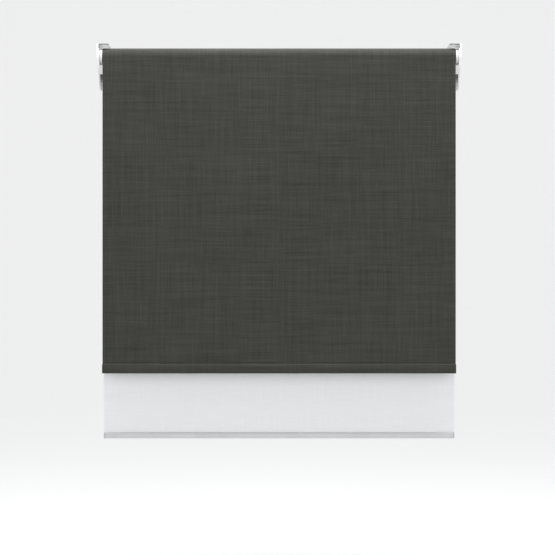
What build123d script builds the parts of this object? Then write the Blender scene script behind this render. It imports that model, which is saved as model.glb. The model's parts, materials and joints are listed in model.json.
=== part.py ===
from build123d import *
import os

os.makedirs("parts", exist_ok=True)

# A double roller blind: a charcoal blackout fabric in front and a white sheer behind it, on two
# rollers that share one pair of brackets. Each roller is cordless: a torsion spring inside the
# tube carries most of the weight, a wrap-spring brake holds the fabric where it is left, and a
# sprung pin at the other end lets the roller out of its bracket.
# X runs along the rollers, -Y points into the room and +Z is up. The origin is on the face that
# meets the recess head, at the centre of the four fixing holes. Millimetres throughout.

# ---- Driving dimensions ----
overall_width = 1000.0
fabric_width = 968.0
bracket_height = 124.5

front_axis = (-18.0, -34.0)  # (y, z) of the front roller
rear_axis = (17.5, -99.0)  # (y, z) of the rear roller

front_roll_radius = 22.8  # tube with its fabric at the position drawn
rear_roll_radius = 21.2
front_hem_bottom = -904.6
rear_bar_bottom = -1086.0

cut_over = 1.0  # how far a cutting solid runs past what it cuts
slide_fit = 0.05  # radial play of things pushed onto a rod
seam_gap = 0.2

# ---- Bracket ----
cover_depth = 4.8
cover_wall = 1.8
cover_edge_radius = 1.4
cover_slope_top = -57.0  # between these two heights the cover's outer face slopes in
cover_slope_bottom = -81.0
cover_low_depth = 1.5
cover_hollow_floor = -56.0
cover_rim_top = -12.8  # from here down the cover reaches round the plate's edge
cover_rim_thickness = 0.6
plate_thickness = 2.2
plate_inset = 0.8
front_nose_radius = 27.5
bracket_top_front = -41.0
bracket_top_back = 44.5
flange_length = 27.0
flange_front = -37.0
flange_back = 41.0
flange_corner_radius = 6.0
fixing_hole_radius = 2.6
fixing_hole_spacing_y = 52.0
fixing_hole_from_face = 22.0
peg_radius = 2.4
peg_clearance = 0.1
peg_short = 0.3
upper_peg_places = ((34.0, -16.0), (-37.0, -42.0))  # (y, z)
lower_peg_place = (37.0, -104.0)

# ---- Roller end housings ----
housing_radius = 22.4
housing_depth = 7.2
housing_edge_radius = 1.2
groove_outer_radius = 18.9
groove_inner_radius = 16.4
groove_depth = 0.8
lug_radius = 3.0
lug_offset = 14.0
lug_clearance = 0.2
stake_depth = 1.0
brake_stem_radius = 6.0
stem_fit = 0.05

# ---- Roller tube ----
tube_radius = 20.0
tube_wall = 1.5
rib_width = 3.0
rib_height = 1.6
rib_turns = (120.0, 240.0)  # from the spline channel, which is at the top
channel_width = 8.0
channel_floor = 14.6
key_root = 19.5
spline_width = 5.0
spline_neck = 2.6
spline_floor = 16.0
spline_ledge = 18.6
spline_play = 0.15
spline_short = 2.0
key_play = 0.3
plug_fit = 0.1
plug_length = 44.0
rim_thickness = 1.0
rim_radius = 20.6

# ---- Brake ----
core_radius = 8.0
core_length = 48.0
core_socket_depth = 28.0
running_play = 0.08
wrap_wire = 1.2
wrap_gap = 0.15
wrap_turns = 5
wrap_spacing = 9.0
wrap_count = 3
wrap_grip = 0.06
wrap_first = 7.5
brake_room_radius = 9.7
brake_room_wall = 6.0

# ---- Lift spring, on a mandrel inside the tube ----
mandrel_radius = 4.0
mandrel_length = 350.0
mandrel_chamfer = 0.8
lift_wire = 2.2
lift_pitch = 6.0
lift_length = 270.0
lift_hub_radius = 9.8
lift_hub_nose = 14.0
lift_hub_collar_radius = 12.8
lift_hub_collar = 3.0
anchor_length = 20.0
lift_end = 2.0
lift_fit = 0.1
clip_from_end = 4.0
clip_thickness = 1.0
clip_radius = 7.0
clip_bore = 3.25
clip_groove_radius = 3.2
clip_mouth = 5.4

# ---- Sprung pin ----
pin_radius = 3.98
pin_fit = 0.06
pin_socket_play = 0.07
pin_tip_short = 1.4
pin_tip_chamfer = 1.0
pin_collar_radius = 6.2
pin_collar_length = 3.0
pin_tail_radius = 2.5
pin_tail_length = 12.0
pin_chamber_play = 0.4
pin_chamber_wall = 6.0
pin_wire = 1.0
pin_spring_radius = 4.8
pin_spring_pitch = 3.1
retainer_length = 5.0
retainer_play = 0.35

# ---- Fabrics and their bars ----
roll_fit = 0.05
fabric_gap = 0.15
fabric_clear = 0.2
blackout_thickness = 0.5
sheer_thickness = 0.35
hem_height = 26.5
hem_depth = 7.0
hem_skin = 0.6
hem_bar_play = 0.3
hem_lip = 1.0
slim_bar_height = 16.5
slim_bar_depth = 9.6
slim_bar_wall = 1.2
slim_groove_offset = 4.1
slim_groove_width = 0.9
slim_groove_depth = 0.45
slot_width = 1.6
slot_depth = 3.0
strip_depth = 3.6
strip_height = 4.2
strip_below_top = 2.6
strip_slit_depth = 2.2
strip_slit_play = 0.05
sheer_tuck = 4.6
bar_cap_length = 4.0
cap_edge_radius = 1.6
cap_tongue_play = 1.6
cap_tongue_length = 8.0

# ---- Derived places ----
outer_face = overall_width / 2
cover_inner_face = outer_face - cover_depth
plate_outer_face = cover_inner_face - seam_gap
plate_inner_face = plate_outer_face - plate_thickness
housing_outer_face = plate_inner_face - seam_gap
housing_inner_face = housing_outer_face - housing_depth
tube_end = fabric_width / 2
tube_bore = tube_radius - tube_wall
rear_nose_radius = bracket_height + rear_axis[1]
stake_face = plate_outer_face - stake_depth


def rod(radius, x_low, x_high, axis):
    """A cylinder along X about the line through axis (y, z)."""
    middle = Location(((x_low + x_high) / 2, axis[0], axis[1]), (0, 90, 0))
    return middle * Cylinder(radius, x_high - x_low)


def flare(radius, x_low, x_high, axis):
    """A cone along X that opens outwards at 45 degrees."""
    length = x_high - x_low
    middle = Location(((x_low + x_high) / 2, axis[0], axis[1]), (0, 90, 0))
    return middle * Cone(radius, radius + length, length)


def ring(outer, inner, x_low, x_high, axis):
    return rod(outer, x_low, x_high, axis) - rod(inner, x_low - cut_over, x_high + cut_over, axis)


def along_x(outline, x_low, x_high):
    """A prism of a (y, z) outline from one x to another."""
    return extrude(Plane.YZ.offset(x_low) * outline, x_high - x_low)


def block(x_low, x_high, y_low, y_high, z_low, z_high):
    middle = ((x_low + x_high) / 2, (y_low + y_high) / 2, (z_low + z_high) / 2)
    return Location(middle) * Box(x_high - x_low, y_high - y_low, z_high - z_low)


def coil(section, mean_radius, pitch, x_low, x_high, axis):
    """A helical spring about the line through axis. The section's x points away from the axis."""
    path = Helix(pitch, x_high - x_low, mean_radius)
    start = Plane(origin=path @ 0, x_dir=(1, 0, 0), z_dir=path % 0)
    spring = sweep(start * section, path=path, is_frenet=True)
    return Location((x_low, axis[0], axis[1]), (0, 90, 0)) * spring


def mirrored(shape):
    return mirror(shape, about=Plane.YZ)


def write(name, *solids):
    shape = solids[0] if len(solids) == 1 else Compound(children=list(solids))
    shape.label = name
    export_step(shape, f"parts/{name}.step")


# ---- Brackets ----
def bracket_outline(inset=0.0):
    """The side view: a flat top, a nose round each roller, and straight runs between them."""
    front_nose = Pos(*front_axis) * Circle(front_nose_radius - inset)
    rear_nose = Pos(*rear_axis) * Circle(rear_nose_radius - inset)
    top = Line((bracket_top_front + inset, -inset), (bracket_top_back - inset, -inset))
    return make_hull([*front_nose.edges(), *rear_nose.edges(), top])


def bracket_plate():
    """A bent steel plate: the side that holds both rollers, and a flange for the head fixings."""
    side = along_x(bracket_outline(plate_inset), plate_inner_face, plate_outer_face)
    flange_end = plate_outer_face - flange_length
    flange = block(flange_end, plate_outer_face, flange_front, flange_back, -plate_thickness, 0)
    inner_corners = flange.edges().filter_by(Axis.Z).sort_by(Axis.X)[:2]
    flange = fillet(inner_corners, flange_corner_radius)
    plate = side + flange
    hole_x = plate_outer_face - fixing_hole_from_face
    for hole_y in (-fixing_hole_spacing_y / 2, fixing_hole_spacing_y / 2):
        hole = Cylinder(fixing_hole_radius, 3 * plate_thickness)
        plate -= Pos(hole_x, hole_y, -plate_thickness / 2) * hole
    through = (plate_inner_face - cut_over, plate_outer_face + cut_over)
    for axis in (front_axis, rear_axis):
        for offset in (-lug_offset, lug_offset):
            place = (axis[0], axis[1] + offset)
            plate -= rod(lug_radius + lug_clearance, *through, place)
            plate -= flare(lug_radius + lug_clearance, stake_face, plate_outer_face + cut_over, place)
    for place in (*upper_peg_places, lower_peg_place):
        plate -= rod(peg_radius + peg_clearance, *through, place)
    return plate


def bracket_cover():
    """A snap-on plastic shell over the plate's outer side and most of its edge. It is thin low down."""
    shell = along_x(bracket_outline(), cover_inner_face, outer_face)
    shell = fillet(shell.faces().sort_by(Axis.X)[-1].edges(), cover_edge_radius)
    low_face = cover_inner_face + cover_low_depth
    slope = Polyline(
        (outer_face, cover_slope_top),
        (low_face, cover_slope_bottom),
        (low_face, -bracket_height - cut_over),
        (outer_face + cut_over, -bracket_height - cut_over),
        (outer_face + cut_over, cover_slope_top),
        close=True,
    )
    slope_face = Plane.XZ * make_face(slope)
    shell -= extrude(slope_face, 3 * front_nose_radius, both=True)
    upper = Rectangle(
        2 * bracket_height, -cover_hollow_floor, align=(Align.CENTER, Align.MAX)
    )
    hollow = along_x(
        bracket_outline(cover_wall) & upper, cover_inner_face - cut_over, outer_face - cover_wall
    )
    lower = Pos(0, cover_rim_top) * Rectangle(
        2 * bracket_height, 2 * bracket_height, align=(Align.CENTER, Align.MAX)
    )
    rim_outline = (bracket_outline() - bracket_outline(cover_rim_thickness)) & lower
    rim = along_x(rim_outline, plate_inner_face, cover_inner_face + cover_low_depth / 2)
    cover = shell - hollow + rim
    peg_end = plate_inner_face + peg_short
    for place in upper_peg_places:
        cover += rod(peg_radius, peg_end, outer_face - cover_wall, place)
    return cover + rod(peg_radius, peg_end, cover_inner_face + cover_low_depth / 2, lower_peg_place)


# ---- Roller end housings ----
def end_housing(axis, bore_radius):
    """A round housing held by two lugs, each staked flush in a countersunk hole of the plate."""
    disc = rod(housing_radius, housing_inner_face, housing_outer_face, axis)
    disc = fillet(disc.faces().sort_by(Axis.X)[0].edges(), housing_edge_radius)
    groove = ring(
        groove_outer_radius,
        groove_inner_radius,
        housing_inner_face - cut_over,
        housing_inner_face + groove_depth,
        axis,
    )
    bore = rod(bore_radius, housing_inner_face - cut_over, housing_outer_face + cut_over, axis)
    housing = disc - groove - bore
    for offset in (-lug_offset, lug_offset):
        place = (axis[0], axis[1] + offset)
        housing += rod(lug_radius, housing_outer_face, stake_face, place)
        housing += flare(lug_radius, stake_face, plate_outer_face, place)
    return housing


# ---- Things that key into the roller tube ----
def radial_bar(width, low, high):
    return Pos(0, (low + high) / 2) * Rectangle(width, high - low)


def key_shapes(play):
    """The tube's two ribs and its spline channel, as outlines about the roller's axis."""
    shapes = radial_bar(channel_width + 2 * play, channel_floor - play, key_root)
    rib = radial_bar(rib_width + 2 * play, tube_bore - rib_height - play, key_root)
    for turn in rib_turns:
        shapes += Rot(0, 0, turn) * rib
    return shapes


def spline_outline():
    """The T-shaped strip that locks the fabric's edge into the channel."""
    head_high = spline_ledge - spline_play
    head = radial_bar(spline_width - 2 * spline_play, spline_floor + spline_play, head_high)
    return head + radial_bar(spline_neck - 2 * spline_play, head_high, tube_radius)


def tube_outline():
    wall = Circle(tube_radius) - Circle(tube_bore)
    cavity = radial_bar(spline_width, spline_floor, spline_ledge)
    mouth = radial_bar(spline_neck, spline_ledge, tube_radius + cut_over)
    return wall + (key_shapes(0.0) & Circle(tube_radius)) - cavity - mouth


def keyed_body(x_low, x_high, axis):
    """A plastic body that slides into the tube and is turned by its ribs."""
    outline = Circle(tube_bore - plug_fit) - key_shapes(key_play)
    return along_x(Pos(*axis) * outline, x_low, x_high)


def roller_tube(axis):
    return along_x(Pos(*axis) * tube_outline(), -tube_end, tube_end)


def fabric_spline(axis):
    end = tube_end - spline_short
    return along_x(Pos(*axis) * spline_outline(), -end, end)


# ---- Brake end ----
drum_high = housing_inner_face - seam_gap
drum_low = drum_high - core_length


def brake_core(axis):
    """The fixed spigot: a stem in the housing, and a drum that the wrap springs grip."""
    stem = rod(brake_stem_radius, drum_high, housing_outer_face - seam_gap, axis)
    drum = rod(core_radius, drum_low, drum_high, axis)
    socket = rod(
        mandrel_radius + slide_fit, drum_low - cut_over, drum_low + core_socket_depth, axis
    )
    return stem + drum - socket


def brake_adapter(axis):
    """The collar that carries the tube and turns on the core."""
    low = tube_end - plug_length
    body = keyed_body(low, tube_end, axis)
    rim = rod(rim_radius, tube_end, tube_end + rim_thickness, axis)
    room = rod(brake_room_radius, low + brake_room_wall, tube_end - brake_room_wall, axis)
    bearing_high = tube_end + rim_thickness + cut_over
    bearing = rod(core_radius + running_play, low - cut_over, bearing_high, axis)
    return body + rim - room - bearing


def wrap_springs(axis):
    """Three short close-wound springs round the core, side by side."""
    pitch = wrap_wire + wrap_gap
    length = pitch * wrap_turns
    mean_radius = core_radius + wrap_grip + wrap_wire / 2
    springs = []
    for number in range(wrap_count):
        low = tube_end - wrap_first - number * wrap_spacing - length
        wire = Rectangle(wrap_wire, wrap_wire)
        springs.append(coil(wire, mean_radius, pitch, low, low + length, axis))
    return springs


# ---- Lift spring ----
mandrel_high = drum_low + core_socket_depth - seam_gap
mandrel_low = mandrel_high - mandrel_length
lift_high = drum_low - brake_room_wall
lift_low = lift_high - lift_length
clip_low = mandrel_low + clip_from_end


def mandrel(axis):
    shaft = rod(mandrel_radius, mandrel_low, mandrel_high, axis)
    shaft = chamfer(shaft.faces().sort_by(Axis.X)[0].edges(), mandrel_chamfer)
    groove_low = clip_low - slide_fit
    groove_high = clip_low + clip_thickness + slide_fit
    return shaft - ring(mandrel_radius + cut_over, clip_groove_radius, groove_low, groove_high, axis)


def mandrel_clip(axis):
    """An open retaining ring in the mandrel's groove."""
    clip = ring(clip_radius, clip_bore, clip_low, clip_low + clip_thickness, axis)
    mouth = block(
        clip_low - cut_over,
        clip_low + clip_thickness + cut_over,
        axis[0] - clip_mouth / 2,
        axis[0] + clip_mouth / 2,
        axis[1] - clip_radius - cut_over,
        axis[1],
    )
    return clip - mouth


def spring_hub(axis):
    """Fixed to the mandrel: holds the still end of the lift spring."""
    collar_low = lift_high + lift_end
    collar_high = collar_low + lift_hub_collar
    nose_low = lift_high - lift_hub_nose
    nose = rod(lift_hub_radius, nose_low, collar_low, axis)
    collar = rod(lift_hub_collar_radius, collar_low, collar_high, axis)
    bore = rod(mandrel_radius + slide_fit, nose_low - cut_over, collar_high + cut_over, axis)
    return nose + collar - bore


def spring_anchor(axis):
    """Turns with the tube: winds the other end of the lift spring."""
    body_high = lift_low - lift_end
    body_low = body_high - anchor_length
    nose_high = lift_low + lift_hub_nose
    nose = rod(lift_hub_radius, body_high, nose_high, axis)
    body = keyed_body(body_low, body_high, axis)
    bore = rod(mandrel_radius + running_play, body_low - cut_over, nose_high + cut_over, axis)
    return nose + body - bore


def lift_spring(axis):
    mean_radius = lift_hub_radius + lift_fit + lift_wire / 2
    return coil(Circle(lift_wire / 2), mean_radius, lift_pitch, lift_low, lift_high, axis)


# ---- Pin end, drawn on the left ----
plug_face = -tube_end - rim_thickness
plug_inner_end = -tube_end + plug_length
chamber_low = -tube_end + pin_chamber_wall
chamber_high = plug_inner_end - pin_chamber_wall


def pin_plug(axis):
    """Closes the tube, with a chamber for the pin and its spring."""
    body = keyed_body(-tube_end, plug_inner_end, axis)
    rim = rod(rim_radius, plug_face, -tube_end, axis)
    guide = rod(pin_radius + pin_fit, plug_face - cut_over, chamber_low + cut_over, axis)
    chamber_radius = pin_collar_radius + pin_chamber_play
    chamber = rod(chamber_radius, chamber_low, plug_inner_end + cut_over, axis)
    return body + rim - guide - chamber


def pin_retainer(axis):
    radius = pin_collar_radius + retainer_play
    return rod(radius, chamber_high, chamber_high + retainer_length, axis)


def sprung_pin(axis):
    collar_high = chamber_low + pin_collar_length
    tip = rod(pin_radius, -housing_outer_face + pin_tip_short, chamber_low, axis)
    tip = chamfer(tip.faces().sort_by(Axis.X)[0].edges(), pin_tip_chamfer)
    collar = rod(pin_collar_radius, chamber_low, collar_high, axis)
    return tip + collar + rod(pin_tail_radius, collar_high, collar_high + pin_tail_length, axis)


def pin_spring(axis):
    clear = pin_wire / 2 + lift_fit
    low = chamber_low + pin_collar_length + clear
    wire = Circle(pin_wire / 2)
    return coil(wire, pin_spring_radius, pin_spring_pitch, low, chamber_high - clear, axis)


# ---- Fabrics ----
def wound_fabric(axis, roll_radius):
    return ring(roll_radius, tube_radius + roll_fit, -tube_end, tube_end, axis)


def hanging_middle(axis, roll_radius, thickness):
    """The y of the middle of a fabric that hangs from the front of its roll."""
    return axis[0] - roll_radius - fabric_gap - thickness / 2


def fabric_panel(middle_y, thickness, half_width, top, bottom):
    half = thickness / 2
    return block(-half_width, half_width, middle_y - half, middle_y + half, bottom, top)


# ---- Front hem: a weight bar in a pocket of the same fabric ----
hem_y = hanging_middle(front_axis, front_roll_radius, blackout_thickness)
hem_top = front_hem_bottom + hem_height
hem_inner = hem_skin + hem_bar_play


def hem_outline(inset):
    oval = Ellipse(hem_depth / 2 - inset, hem_height / 2 - inset)
    return Pos(hem_y, hem_top - hem_height / 2) * oval


def hem_pocket():
    return along_x(hem_outline(0) - hem_outline(hem_skin), -tube_end, tube_end)


def hem_bar():
    end = tube_end - bar_cap_length
    return along_x(hem_outline(hem_inner), -end, end)


def hem_plug():
    """Closes one end of the pocket: a lip outside and a tongue inside."""
    lip_low = tube_end + slide_fit
    tongue_low = tube_end - bar_cap_length + seam_gap
    tongue = along_x(hem_outline(hem_inner), tongue_low, lip_low)
    return tongue + along_x(hem_outline(0), lip_low, lip_low + hem_lip)


# ---- Rear bar: a slim extrusion, slotted on top for the sheer ----
slim_y = hanging_middle(rear_axis, rear_roll_radius, sheer_thickness)
slim_top = rear_bar_bottom + slim_bar_height
slim_z = rear_bar_bottom + slim_bar_height / 2
slim_end = tube_end - bar_cap_length
strip_top = slim_top - strip_below_top
sheer_end = slim_top - sheer_tuck


def slim_outline(inset):
    height = slim_bar_height - 2 * inset
    width = slim_bar_depth - 2 * inset
    return Pos(slim_y, slim_z) * SlotOverall(height, width, rotation=90)


def slim_bar():
    """A thin-walled oval with a top slot, and two fine grooves along each face."""
    section = slim_outline(0) - slim_outline(slim_bar_wall)
    section -= Pos(slim_y, slim_top) * Rectangle(slot_width, 2 * slot_depth)
    groove = Rectangle(2 * slim_groove_depth, slim_groove_width)
    for face_y in (slim_y - slim_bar_depth / 2, slim_y + slim_bar_depth / 2):
        for height in (slim_z - slim_groove_offset, slim_z + slim_groove_offset):
            section -= Pos(face_y, height) * groove
    return along_x(section, -slim_end, slim_end)


def fabric_strip():
    """The plastic strip that grips the sheer's edge inside the bar."""
    body = Pos(slim_y, strip_top - strip_height / 2) * Rectangle(strip_depth, strip_height)
    slit_width = sheer_thickness + 2 * strip_slit_play
    slit = Pos(slim_y, strip_top) * Rectangle(slit_width, 2 * strip_slit_depth)
    return along_x(body - slit, -slim_end + spline_short, slim_end - spline_short)


def slim_bar_cap():
    """A moulded end: a lip the shape of the bar, and a tongue pushed into it."""
    lip = along_x(slim_outline(0), slim_end + slide_fit, tube_end)
    lip = fillet(lip.faces().sort_by(Axis.X)[-1].edges(), cap_edge_radius)
    tongue_z = rear_bar_bottom + slim_bar_depth / 2
    tongue = Pos(slim_y, tongue_z) * Circle(slim_bar_depth / 2 - cap_tongue_play)
    return lip + along_x(tongue, slim_end - cap_tongue_length, slim_end + bar_cap_length / 2)


def sheer_panel():
    """The sheer, full width down to its bar and narrower where it is tucked in."""
    place = (slim_y, sheer_thickness)
    drop_end = slim_top + fabric_clear
    drop = fabric_panel(*place, tube_end, rear_axis[1], drop_end)
    return drop + fabric_panel(*place, slim_end - spline_short, drop_end, sheer_end)


# ---- Write the nodes ----
plate = bracket_plate()
cover = bracket_cover()
write("right_bracket_plate", plate)
write("left_bracket_plate", mirrored(plate))
write("right_bracket_cover", cover)
write("left_bracket_cover", mirrored(cover))

rollers = {
    "front": (front_axis, front_roll_radius),
    "rear": (rear_axis, rear_roll_radius),
}
for side, (axis, roll_radius) in rollers.items():
    write(f"{side}_brake_housing", end_housing(axis, brake_stem_radius + stem_fit))
    write(f"{side}_pin_housing", mirrored(end_housing(axis, pin_radius + pin_socket_play)))
    write(f"{side}_brake_core", brake_core(axis))
    write(f"{side}_brake_springs", *wrap_springs(axis))
    write(f"{side}_brake_adapter", brake_adapter(axis))
    write(f"{side}_mandrel", mandrel(axis))
    write(f"{side}_mandrel_clip", mandrel_clip(axis))
    write(f"{side}_spring_hub", spring_hub(axis))
    write(f"{side}_lift_spring", lift_spring(axis))
    write(f"{side}_spring_anchor", spring_anchor(axis))
    write(f"{side}_roller_tube", roller_tube(axis))
    write(f"{side}_fabric_spline", fabric_spline(axis))
    write(f"{side}_fabric_roll", wound_fabric(axis, roll_radius))
    write(f"{side}_pin_plug", pin_plug(axis))
    write(f"{side}_pin_retainer", pin_retainer(axis))
    write(f"{side}_pin", sprung_pin(axis))
    write(f"{side}_pin_spring", pin_spring(axis))

front_drop = (hem_y, blackout_thickness, tube_end, front_axis[1], hem_top + fabric_clear)
write("front_fabric", fabric_panel(*front_drop))
write("front_hem_pocket", hem_pocket())
write("front_hem_bar", hem_bar())
write("front_hem_plugs", hem_plug(), mirrored(hem_plug()))

write("rear_fabric", sheer_panel())
write("rear_bottom_bar", slim_bar())
write("rear_fabric_strip", fabric_strip())
write("rear_bar_caps", slim_bar_cap(), mirrored(slim_bar_cap()))
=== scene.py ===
import json
import math

import bpy
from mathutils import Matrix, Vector, noise


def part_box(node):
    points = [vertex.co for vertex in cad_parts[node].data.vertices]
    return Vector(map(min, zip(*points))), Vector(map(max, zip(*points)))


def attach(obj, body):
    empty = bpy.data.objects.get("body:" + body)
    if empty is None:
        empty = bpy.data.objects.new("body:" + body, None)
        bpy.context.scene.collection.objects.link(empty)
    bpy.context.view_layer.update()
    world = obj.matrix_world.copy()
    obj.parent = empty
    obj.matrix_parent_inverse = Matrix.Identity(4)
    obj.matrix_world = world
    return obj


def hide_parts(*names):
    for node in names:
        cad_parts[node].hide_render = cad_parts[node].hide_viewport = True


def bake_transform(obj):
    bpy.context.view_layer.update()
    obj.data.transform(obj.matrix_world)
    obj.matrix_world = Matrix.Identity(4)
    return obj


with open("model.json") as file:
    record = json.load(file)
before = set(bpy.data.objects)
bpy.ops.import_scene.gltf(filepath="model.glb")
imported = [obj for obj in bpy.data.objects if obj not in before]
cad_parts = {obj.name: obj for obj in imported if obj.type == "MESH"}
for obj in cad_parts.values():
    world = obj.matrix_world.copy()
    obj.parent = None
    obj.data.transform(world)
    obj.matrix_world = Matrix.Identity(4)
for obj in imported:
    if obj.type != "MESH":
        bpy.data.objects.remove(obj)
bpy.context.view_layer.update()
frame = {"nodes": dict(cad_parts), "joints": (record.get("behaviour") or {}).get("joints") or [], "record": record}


# ---- Places read from the CAD ----
joints = {joint["name"]: joint for joint in frame["joints"]}
cloth_half_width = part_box("front_fabric")[1].x

blackout_thickness = 0.0005
sheer_thickness = 0.00035
blackout_wound = 0.685  # cloth left on the roll as the blind hangs here
sheer_wound = 0.475
sheer_tuck = 0.004
station_step = 0.012  # down the drop, and across it
roll_turn_step = 0.07
roll_column = 0.06
hem_column = 0.03


class Blind:
    """Where one roller and its drop are, and how thick its cloth is."""

    def __init__(self, side, thickness):
        self.side = side
        self.thickness = thickness
        pivot = joints[f"{side}_roller_turn"]["pos_m"]
        self.axis_y, self.axis_z = pivot[1], pivot[2]
        self.tube_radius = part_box(f"{side}_roller_tube")[1].z - self.axis_z
        low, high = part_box(f"{side}_fabric")
        self.drop_y = ((low + high) / 2).y
        self.outer_radius = self.axis_y - self.drop_y


front = Blind("front", blackout_thickness)
rear = Blind("rear", sheer_thickness)
hem_low, hem_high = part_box("front_hem_pocket")
bar_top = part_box("rear_bottom_bar")[1].z


# ---- Node helpers ----
class Shader:
    """A material whose nodes are written as nested calls."""

    def __init__(self, name):
        self.material = bpy.data.materials.new(name)
        self.material.use_nodes = True
        self.tree = self.material.node_tree
        self.tree.nodes.clear()
        self.output = self.tree.nodes.new("ShaderNodeOutputMaterial")

    def node(self, kind, output, settings=None, **inputs):
        made = self.tree.nodes.new("ShaderNode" + kind)
        for name, value in (settings or {}).items():
            setattr(made, name, value)
        for name, value in inputs.items():
            key = int(name[1:]) if name[1:].isdigit() else name.replace("_", " ")
            socket = made.inputs[key]
            if isinstance(value, bpy.types.NodeSocket):
                self.tree.links.new(value, socket)
            else:
                socket.default_value = value
        return made.outputs[output]

    def math(self, operation, a, b=0.0, c=0.0):
        return self.node("Math", 0, {"operation": operation}, i0=a, i1=b, i2=c)

    def between(self, value, low, high, out_low, out_high):
        return self.node("MapRange", 0, None, i0=value, i1=low, i2=high, i3=out_low, i4=out_high)

    def noise(self, vector, scale, detail=2.0, roughness=0.5):
        return self.node(
            "TexNoise", 0, None, Vector=vector, Scale=scale, Detail=detail, Roughness=roughness
        )

    def stretched(self, vector, sizes):
        return self.node("Mapping", 0, None, Vector=vector, Scale=sizes)

    def mix_colour(self, share, a, b):
        return self.node("Mix", 2, {"data_type": "RGBA"}, i0=share, i6=a, i7=b)

    def bump(self, height, strength, distance):
        return self.node("Bump", 0, None, Height=height, Strength=strength, Distance=distance)

    def threads(self, vector, direction, scale, distortion):
        return self.node(
            "TexWave", 1, {"bands_direction": direction},
            Vector=vector, Scale=scale, Distortion=distortion, Detail=1.0,
        )

    def surface(self, shader):
        self.tree.links.new(shader, self.output.inputs["Surface"])
        return self.material


def position(shader):
    return shader.node("TexCoord", 3)


def cloth_position(shader):
    """Across the cloth and along its length, so that the weave runs on round the roll."""
    parts = shader.tree.nodes.new("ShaderNodeSeparateXYZ")
    shader.tree.links.new(position(shader), parts.inputs[0])
    wound = shader.node("Attribute", 2, {"attribute_name": "wound"})
    along = shader.math("ADD", parts.outputs["Z"], wound)
    return shader.node("CombineXYZ", 0, None, X=parts.outputs["X"], Y=0.0, Z=along)


# ---- Materials ----
def charcoal_cloth(name):
    """Linen-look blackout cloth: uneven yarns both ways, in olive charcoal."""
    s = Shader(name)
    place = cloth_position(s)
    weft = s.noise(s.stretched(place, (9.0, 1.0, 380.0)), 1.0, 3.0, 0.62)
    warp = s.noise(s.stretched(place, (400.0, 1.0, 10.0)), 1.0, 3.0, 0.62)
    long_weft = s.noise(s.stretched(place, (3.0, 1.0, 95.0)), 1.0, 2.0, 0.55)
    long_warp = s.noise(s.stretched(place, (120.0, 1.0, 3.5)), 1.0, 2.0, 0.55)
    cloudy = s.noise(place, 5.0, 2.0, 0.5)
    yarns = s.math("ADD", s.math("MULTIPLY", weft, 0.5), s.math("MULTIPLY", warp, 0.42))
    slubs = s.math("ADD", s.math("MULTIPLY", long_weft, 0.3), s.math("MULTIPLY", long_warp, 0.26))
    tone = s.math("ADD", s.math("ADD", yarns, slubs), s.math("MULTIPLY", cloudy, 0.12))
    share = s.between(tone, 0.58, 1.02, 0.0, 1.0)
    colour = s.mix_colour(share, (0.0225, 0.023, 0.0193, 1), (0.0530, 0.0540, 0.0470, 1))
    weft_thread = s.threads(place, "Z", 400.0, 0.6)
    warp_thread = s.threads(place, "X", 400.0, 0.6)
    threads = s.math("MULTIPLY", s.math("ADD", weft_thread, warp_thread), 0.5)
    relief = s.math("ADD", threads, s.math("MULTIPLY", yarns, 2.0))
    rough = s.between(yarns, 0.3, 0.6, 0.95, 0.82)
    shader = s.node(
        "BsdfPrincipled", 0, None,
        Base_Color=colour, Roughness=rough, Specular_IOR_Level=0.18,
        Sheen_Weight=0.17, Sheen_Roughness=0.45, Sheen_Tint=(0.8, 0.8, 0.76, 1),
        Normal=s.bump(relief, 0.35, 0.00022),
    )
    return s.surface(shader)


def sheer_cloth(name):
    """Fine white light-filtering cloth."""
    s = Shader(name)
    place = cloth_position(s)
    weft = s.noise(s.stretched(place, (14.0, 1.0, 900.0)), 1.0, 2.0, 0.5)
    warp = s.noise(s.stretched(place, (900.0, 1.0, 14.0)), 1.0, 2.0, 0.5)
    tone = s.math("MULTIPLY", s.math("ADD", weft, warp), 0.5)
    share = s.between(tone, 0.35, 0.65, 0.0, 1.0)
    colour = s.mix_colour(share, (0.79, 0.80, 0.812, 1), (0.85, 0.857, 0.866, 1))
    weft_thread = s.threads(place, "Z", 700.0, 0.3)
    warp_thread = s.threads(place, "X", 700.0, 0.3)
    relief = s.math("ADD", s.math("ADD", weft_thread, warp_thread), tone)
    normal = s.bump(relief, 0.15, 0.0001)
    face = s.node(
        "BsdfPrincipled", 0, None,
        Base_Color=colour, Roughness=s.between(tone, 0.35, 0.65, 0.78, 0.7),
        Specular_IOR_Level=0.25, Sheen_Weight=0.15, Sheen_Roughness=0.4, Normal=normal,
    )
    through = s.node("BsdfTranslucent", 0, None, Color=colour, Normal=normal)
    return s.surface(s.node("MixShader", 0, None, i0=0.3, i1=face, i2=through))


def moulded(name, colour, rough, coat=0.0):
    """Injection-moulded plastic with a faint spark-eroded grain."""
    s = Shader(name)
    place = position(s)
    grain = s.noise(place, 2600.0, 2.0, 0.6)
    flow = s.noise(place, 26.0, 3.0, 0.5)
    dull = tuple(0.94 * channel for channel in colour)
    base = s.mix_colour(s.between(flow, 0.3, 0.7, 0.0, 1.0), (*dull, 1), (*colour, 1))
    shader = s.node(
        "BsdfPrincipled", 0, None,
        Base_Color=base, Roughness=s.between(grain, 0.3, 0.7, rough - 0.05, rough + 0.06),
        Specular_IOR_Level=0.5, Coat_Weight=coat, Coat_Roughness=0.15,
        Normal=s.bump(grain, 0.12, 0.00005),
    )
    return s.surface(shader)


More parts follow.
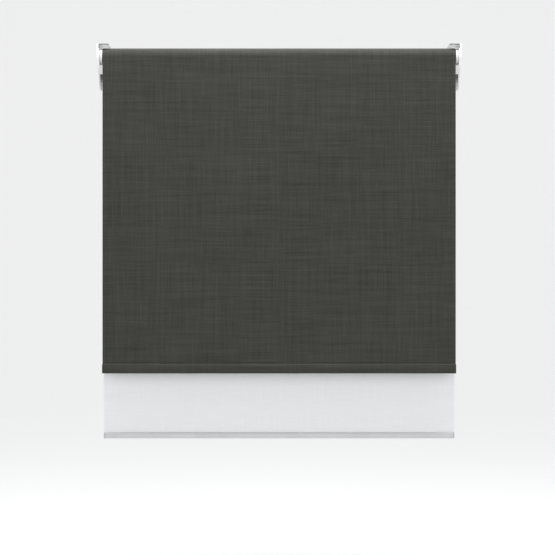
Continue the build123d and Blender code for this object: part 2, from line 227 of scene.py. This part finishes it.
def powder_coat(name, colour, rough=0.35, coat=0.15, coat_rough=0.2):
    """Powder paint, with its orange-peel surface."""
    s = Shader(name)
    place = position(s)
    peel = s.noise(place, 1100.0, 2.0, 0.4)
    patch = s.noise(place, 18.0, 2.0, 0.5)
    dull = tuple(0.93 * channel for channel in colour)
    base = s.mix_colour(s.between(patch, 0.3, 0.7, 0.0, 1.0), (*dull, 1), (*colour, 1))
    shader = s.node(
        "BsdfPrincipled", 0, None,
        Base_Color=base, Roughness=s.between(peel, 0.3, 0.7, rough - 0.05, rough + 0.05),
        Coat_Weight=coat, Coat_Roughness=coat_rough, Normal=s.bump(peel, 0.2, 0.00006),
    )
    return s.surface(shader)


def drawn_metal(name, colour, rough):
    """Metal with fine lines left by drawing or extrusion along X."""
    s = Shader(name)
    place = position(s)
    lines = s.noise(s.stretched(place, (6.0, 900.0, 900.0)), 1.0, 3.0, 0.6)
    stain = s.noise(place, 30.0, 3.0, 0.55)
    dull = tuple(0.8 * channel for channel in colour)
    base = s.mix_colour(s.between(stain, 0.35, 0.7, 0.0, 1.0), (*colour, 1), (*dull, 1))
    shader = s.node(
        "BsdfPrincipled", 0, None,
        Base_Color=base, Metallic=1.0,
        Roughness=s.between(lines, 0.3, 0.7, rough - 0.06, rough + 0.1),
        Normal=s.bump(lines, 0.15, 0.00004),
    )
    return s.surface(shader)


def studio_paper(name, colour, glow):
    """Plain paper that gives off a little light, as a lit backdrop does."""
    s = Shader(name)
    tone = s.between(s.noise(position(s), 0.6, 2.0, 0.5), 0.3, 0.7, 0.985, 1.0)
    base = s.mix_colour(tone, (0, 0, 0, 1), (*colour, 1))
    return s.surface(s.node(
        "BsdfPrincipled", 0, None, Base_Color=base, Roughness=0.95,
        Emission_Color=(1, 1, 1, 1), Emission_Strength=glow,
    ))


finishes = {
    "bracket_paint": powder_coat(
        "bracket_paint", (0.05, 0.05, 0.052), rough=0.16, coat=1.0, coat_rough=0.08
    ),
    "cover_plastic": moulded("cover_plastic", (0.82, 0.82, 0.815), 0.32, coat=0.2),
    "housing_plastic": moulded("housing_plastic", (0.86, 0.86, 0.855), 0.42),
    "plug_plastic": moulded("plug_plastic", (0.13, 0.13, 0.14), 0.48),
    "plated_steel": drawn_metal("plated_steel", (0.62, 0.62, 0.63), 0.32),
    "spring_steel": drawn_metal("spring_steel", (0.45, 0.45, 0.46), 0.36),
    "tube_aluminium": drawn_metal("tube_aluminium", (0.72, 0.72, 0.73), 0.38),
    "spline_plastic": moulded("spline_plastic", (0.8, 0.8, 0.78), 0.5),
    "charcoal_fabric": charcoal_cloth("charcoal_fabric"),
    "sheer_fabric": sheer_cloth("sheer_fabric"),
    "dark_cap_plastic": moulded("dark_cap_plastic", (0.03, 0.03, 0.03), 0.4),
    "bar_paint": powder_coat("bar_paint", (0.53, 0.535, 0.54)),
    "light_cap_plastic": moulded("light_cap_plastic", (0.42, 0.42, 0.42), 0.4),
}
for subpart in frame["record"]["subparts"]:
    mesh = frame["nodes"][subpart["node"]].data
    mesh.materials.clear()
    mesh.materials.append(finishes[subpart["material_slot"]])


# ---- Cloth ----
def stations(low, high, step):
    count = max(1, math.ceil((high - low) / step))
    return [low + (high - low) * index / count for index in range(count + 1)]


ripple_height = 0.0012
edge_curl = 0.0006
edge_reach = 0.012


def ripple(x, share):
    """How far the hanging cloth strays from a plane, nothing at its top and bottom."""
    hold = math.sin(math.pi * share)
    wave = noise.noise(Vector((x * 2.2, share * 1.6, 4.0)))
    edge = cloth_half_width - abs(x)
    return hold * (ripple_height * wave - edge_curl * math.exp(-edge / edge_reach))


def strip(name, line, thickness, column, slot, wave=None):
    """A thin closed cloth along a line of (y, z, length) stations, as wide as the blind."""
    columns = stations(-cloth_half_width, cloth_half_width, column)
    count = len(line)
    normals = []
    for index in range(count):
        before = line[max(index - 1, 0)]
        after = line[min(index + 1, count - 1)]
        along = Vector((after[0] - before[0], after[1] - before[1])).normalized()
        normals.append((-along.y, along.x))
    verts, wound, flat = [], [], set()
    for half in (thickness / 2, -thickness / 2):
        for (y, z, length), (normal_y, normal_z) in zip(line, normals):
            for x in columns:
                stray = wave(x, z) if wave else 0.0
                verts.append((x, y + half * normal_y + stray, z + half * normal_z))
                wound.append(length - z)
    width = len(columns)
    size = count * width
    faces = []
    for row in range(count - 1):
        here, there = row * width, (row + 1) * width
        for column_index in range(width - 1):
            a, b = here + column_index, here + column_index + 1
            c, d = there + column_index + 1, there + column_index
            faces.append((a, b, c, d))
            faces.append((size + d, size + c, size + b, size + a))
        for edge, flip in ((0, False), (width - 1, True)):
            flat.add(len(faces))
            side = (here + edge, there + edge, size + there + edge, size + here + edge)
            faces.append(tuple(reversed(side)) if flip else side)
    for row, flip in ((0, False), (count - 1, True)):
        for column_index in range(width - 1):
            a = row * width + column_index
            end = (a, size + a, size + a + 1, a + 1)
            flat.add(len(faces))
            faces.append(tuple(reversed(end)) if flip else end)
    mesh = bpy.data.meshes.new(name)
    mesh.from_pydata(verts, [], faces)
    attribute = mesh.attributes.new("wound", "FLOAT", "POINT")
    attribute.data.foreach_set("value", wound)
    mesh.materials.append(finishes[slot])
    hard = {key for index in flat for key in mesh.polygons[index].edge_keys}
    mesh.edges.foreach_set("use_edge_sharp", [edge.key in hard for edge in mesh.edges])
    mesh.shade_smooth()
    mesh.update()
    piece = bpy.data.objects.new(name, mesh)
    bpy.context.scene.collection.objects.link(piece)
    return piece


# Each band of a drop: its name's ending, and the shares of the drop where it begins and ends. The
# last two are the places u where the blend's weight, 3u^2 - 2u^3, has those values.
bands = (
    ("head", 0.0, 0.1, 0.0, 0.1958),
    ("", 0.1, 0.9, 0.1958, 0.8042),
    ("foot", 0.9, 1.0, 0.8042, 1.0),
)

# The crease above the front hem: how far above the hem, and how far the cloth is set back there.
crease = (
    (0.005, 0.0),
    (0.004, 0.00015),
    (0.003, 0.00045),
    (0.002, 0.00075),
    (0.001, 0.0009),
    (0.0, 0.00095),
)


def hang(blind, foot_z, slot, below=0.0, creased=False):
    """The cloth from roll to bar, in three bands."""
    top = blind.axis_z
    drop = top - foot_z

    def wave(x, z):
        return ripple(x, min(1.0, max(0.0, (top - z) / drop))) if z < top else 0.0

    for suffix, begin, end, first, last in bands:
        high, low = top - begin * drop, top - end * drop
        line = [(blind.drop_y, z, z) for z in reversed(stations(low, high, station_step))]
        if suffix == "foot" and below:
            line.append((blind.drop_y, foot_z - below, foot_z - below))
        if suffix == "foot" and creased:
            line.pop()
            line += [(blind.drop_y + back, low + up, low + up) for up, back in crease]
        name = "_".join(filter(None, (blind.side, "cloth", suffix)))
        piece = strip(name, line, blind.thickness, station_step, slot, wave)
        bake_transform(piece)
        if not suffix:
            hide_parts(f"{blind.side}_fabric")


def wind(blind, slot, wound_length):
    """The rest of the cloth, wound on the tube from the line where the drop leaves it."""
    outer = blind.outer_radius
    inner = blind.tube_radius + 0.6 * blind.thickness
    turn = 2 * wound_length / (inner + outer)
    count = math.ceil(turn / roll_turn_step)
    line, length, last = [], blind.axis_z, None
    for index in range(count + 1):
        share = index / count
        radius = outer + (inner - outer) * share
        y = blind.axis_y - radius * math.cos(turn * share)
        z = blind.axis_z + radius * math.sin(turn * share)
        if last:
            length += math.dist(last, (y, z))
        line.append((y, z, length))
        last = (y, z)
    piece = strip(f"{blind.side}_roll_cloth", line, blind.thickness, roll_column, slot)
    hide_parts(f"{blind.side}_fabric_roll")
    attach(piece, f"{blind.side}_roller")


hang(front, hem_high.z, "charcoal_fabric", creased=True)
wind(front, "charcoal_fabric", blackout_wound)
hang(rear, bar_top, "sheer_fabric", below=sheer_tuck)
wind(rear, "sheer_fabric", sheer_wound)


# ---- Front hem: the same cloth folded round the weight bar and welded above it ----
hem_middle = (hem_low + hem_high) / 2
hem_half_depth = (hem_high.y - hem_low.y) / 2
hem_half_height = (hem_high.z - hem_low.z) / 2
hem_inset = 0.0003
hem_stations = 72
pinch_from = 0.82  # the share of the half height above which the two sides close in
pinch_depth = 0.75


def hem_line():
    """Down the room side, under the bar and up behind, pinched together at the weld."""
    line, length, last = [], hem_high.z, None
    for index in range(hem_stations + 1):
        angle = math.pi / 2 + 2 * math.pi * index / hem_stations
        height = math.sin(angle)
        near_top = max(0.0, (height - pinch_from) / (1 - pinch_from))
        pinch = 1 - pinch_depth * near_top**1.5
        y = hem_middle.y + (hem_half_depth - hem_inset) * math.cos(angle) * pinch
        z = hem_middle.z + (hem_half_height - hem_inset) * height
        if last:
            length -= math.dist(last, (y, z))
        line.append((y, z, length))
        last = (y, z)
    return line


folded = hem_line()
hem = strip("front_hem", folded, blackout_thickness, hem_column, "charcoal_fabric")
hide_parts("front_hem_pocket")
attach(hem, "front_bar")


# ---- Springs behind the release pins, which shorten as the pins are pressed ----
coil_wire = 0.0005
coil_pitch = 0.0031
coil_steps = 24  # round each turn of the spring
coil_sides = 8  # round the wire


def pin_coil(blind):
    """One spring as a helix of round wire, held by the roller and pressed by the pin."""
    wire, sides = coil_wire, coil_sides
    low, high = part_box(f"{blind.side}_pin_spring")
    radius = (high.z - low.z) / 2 - wire
    length = high.x - low.x - 2 * wire
    count = math.ceil(coil_steps * length / coil_pitch)
    verts = []
    for index in range(count + 1):
        turn = 2 * math.pi * index / coil_steps
        x = low.x + wire + length * index / count
        for side in range(sides):
            around = 2 * math.pi * side / sides
            reach = radius + wire * math.cos(around)
            y = blind.axis_y + reach * math.cos(turn)
            z = blind.axis_z + reach * math.sin(turn)
            verts.append((x + wire * math.sin(around), y, z))
    faces = [tuple(range(sides)), tuple(reversed(range(count * sides, (count + 1) * sides)))]
    for index in range(count):
        here, there = index * sides, (index + 1) * sides
        for side in range(sides):
            after = (side + 1) % sides
            faces.append((here + side, there + side, there + after, here + after))
    name = f"{blind.side}_pin_coil"
    mesh = bpy.data.meshes.new(name)
    mesh.from_pydata(verts, [], faces)
    mesh.materials.append(finishes["spring_steel"])
    mesh.shade_smooth()
    mesh.update()
    coil = bpy.data.objects.new(name, mesh)
    bpy.context.scene.collection.objects.link(coil)
    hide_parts(f"{blind.side}_pin_spring")
    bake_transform(coil)


pin_coil(front)
pin_coil(rear)


# ---- Studio ----
def bowl(name, floor_z, flat, bend, height, bend_steps=16, sides=96):
    """A pale floor that curves up all round, so that no edge shows from any side."""
    profile = [(0.0, floor_z), (flat * 0.5, floor_z), (flat, floor_z)]
    for index in range(1, bend_steps + 1):
        angle = math.pi / 2 * index / bend_steps
        profile.append((flat + bend * math.sin(angle), floor_z + bend * (1 - math.cos(angle))))
    profile.append((flat + bend, floor_z + bend + height))
    verts = [(0, 0, floor_z)]
    for radius, z in profile[1:]:
        for index in range(sides):
            turn = 2 * math.pi * index / sides
            verts.append((radius * math.cos(turn), radius * math.sin(turn), z))
    faces = [(0, 1 + index, 1 + (index + 1) % sides) for index in range(sides)]
    for ring in range(len(profile) - 2):
        for index in range(sides):
            a, b = 1 + ring * sides + index, 1 + ring * sides + (index + 1) % sides
            faces.append((a, a + sides, b + sides, b))
    mesh = bpy.data.meshes.new(name)
    mesh.from_pydata(verts, [], faces)
    mesh.materials.append(studio_paper("pale_paper", (0.42, 0.42, 0.42), 0.5))
    mesh.shade_smooth()
    made = bpy.data.objects.new(name, mesh)
    bpy.context.scene.collection.objects.link(made)


bowl("pale_floor", floor_z=-1.45, flat=5.0, bend=2.2, height=4.0)


def soft_light(name, place, aim, size, power):
    data = bpy.data.lights.new(name, "AREA")
    data.shape = "RECTANGLE"
    data.size, data.size_y = size
    data.energy = power
    lamp = bpy.data.objects.new(name, data)
    bpy.context.scene.collection.objects.link(lamp)
    lamp.location = place
    lamp.rotation_euler = (Vector(aim) - Vector(place)).to_track_quat("-Z", "Y").to_euler()


soft_light("key", place=(0.0, -0.25, 1.3), aim=(0.0, -0.02, -0.2), size=(2.2, 0.5), power=63.0)
for side in (-1, 1):
    soft_light(
        "fill", place=(side * 2.6, -3.6, 0.7), aim=(0.0, 0.0, -0.5), size=(2.0, 3.0), power=30.0
    )

world = bpy.data.worlds.new("studio")
world.use_nodes = True
sky = world.node_tree.nodes["Background"]
sky.inputs["Color"].default_value = (0.95, 0.97, 1.0, 1)
sky.inputs["Strength"].default_value = 0.63
bpy.context.scene.world = world
bpy.context.scene.view_settings.view_transform = "Standard"

# ---- Camera: level, square on, a little under the middle of the drop ----
camera_data = bpy.data.cameras.new("camera")
camera_data.lens = 106.6
camera = bpy.data.objects.new("camera", camera_data)
bpy.context.scene.collection.objects.link(camera)
camera.location = (-0.0044, -4.545, -0.6415)
camera.rotation_euler = (math.pi / 2, 0, 0)
bpy.context.scene.camera = camera
